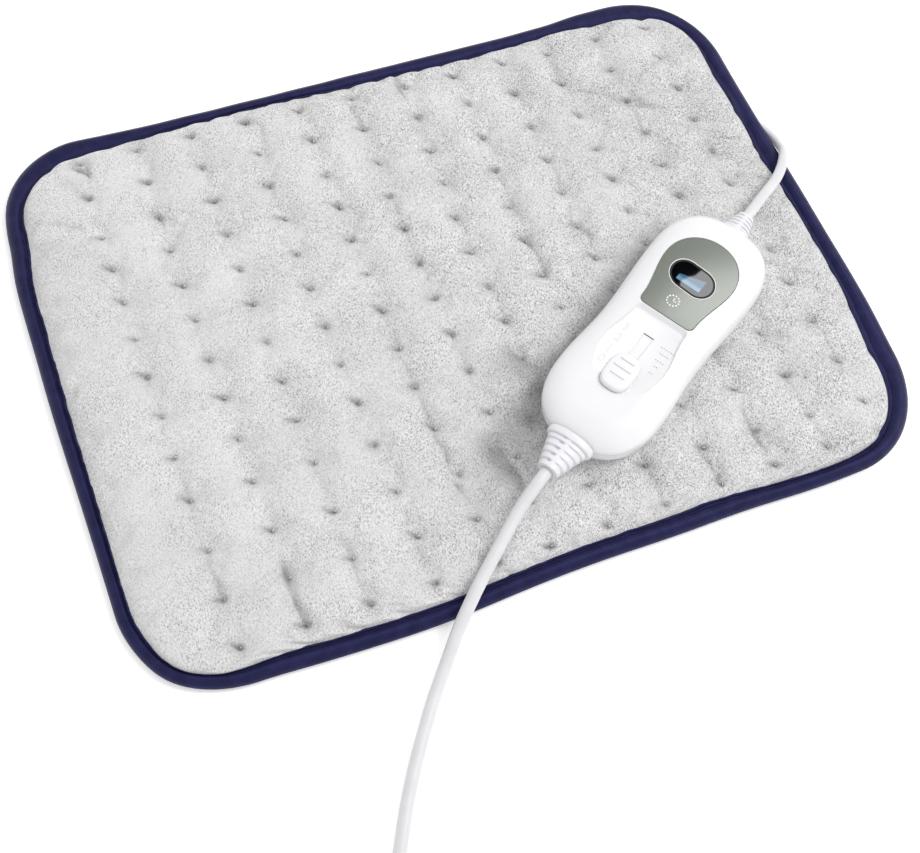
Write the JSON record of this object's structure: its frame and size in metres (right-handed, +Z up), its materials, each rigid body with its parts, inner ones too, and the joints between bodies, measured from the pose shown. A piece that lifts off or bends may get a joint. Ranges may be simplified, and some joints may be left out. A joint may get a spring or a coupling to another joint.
{
  "type": "heating pad with controller",
  "caption": "Tufted plush heating pad with a bound edge, a hand controller with a slide switch and display lying on it, and a mains lead tied in a coil with its plug.",
  "frame": {"origin": "middle of the pad, on the surface that it lies on", "axes": "+X along the pad's long side, +Y across it, +Z up"},
  "size_m": [0.406, 0.5273, 0.0372],
  "materials": {
    "binding_tape": "ribbed woven tape",
    "plush": "short pile plush",
    "plush_back": "short pile plush",
    "carrier_felt": "thin needled felt",
    "padding": "needled felt",
    "wire_cover": "covered wire",
    "dark_plastic": "moulded",
    "steel_case": "pressed case",
    "soft_white": "soft moulded",
    "lead_white": "smooth flexible sheath",
    "white_shell": "polished",
    "plate_finish": "satin metallic",
    "window": "dark tinted, clear over the panel",
    "lcd_panel": "lit display panel",
    "light_box": "diffusing",
    "spring_steel": "bright leaf",
    "board": "resist coated laminate",
    "capacitor_case": "dipped case",
    "ceramic_tube": "glazed tube",
    "white_relief": "moulded",
    "tie_plastic": "smooth strap",
    "plug_white": "moulded",
    "pin_metal": "bright turned",
    "screw_steel": "zinc plated"
  },
  "bodies": {
    "pad_and_housing": {"edge_binding": "binding_tape", "top_cover": "plush", "bottom_cover": "plush_back", "heater_carrier": "carrier_felt", "padding_layer": "padding", "heating_wire": "wire_cover", "junction_block": "dark_plastic", "thermal_cutout_1": "steel_case", "thermal_cutout_2": "steel_case", "pad_entry_gland": "soft_white", "pad_lead_core_1": "wire_cover", "pad_lead_core_2": "wire_cover", "pad_cord": "lead_white", "housing_bottom": "white_shell", "housing_top": "white_shell", "display_plate": "plate_finish", "display_window": "window", "lcd_module": "lcd_panel", "lcd_light_box": "light_box", "switch_body": "dark_plastic", "detent_spring": "spring_steel", "circuit_board": "board", "film_capacitor": "capacitor_case", "triac": "dark_plastic", "control_chip": "dark_plastic", "fuse": "ceramic_tube", "mains_strain_relief": "white_relief", "pad_strain_relief": "white_relief", "mains_cord": "lead_white", "mains_coil": "lead_white", "mains_tail": "lead_white", "coil_tie": "tie_plastic", "plug_body": "plug_white", "plug_pin_1": "pin_metal", "plug_pin_2": "pin_metal", "housing_screw_1": "screw_steel", "housing_screw_2": "screw_steel", "housing_screw_3": "screw_steel", "housing_screw_4": "screw_steel", "mains_wire_1": "wire_cover", "pad_wire_1": "wire_cover", "mains_wire_2": "wire_cover", "pad_wire_2": "wire_cover"},
    "slider": {"slider_button": "white_shell", "switch_carriage": "dark_plastic"}
  },
  "joints": [
    {"name": "heat_slider", "type": "slide", "parent": "pad_and_housing", "child": "slider", "axis": [0.849, 0.5284, 0], "range_m": [0, 0.0212]}
  ]
}
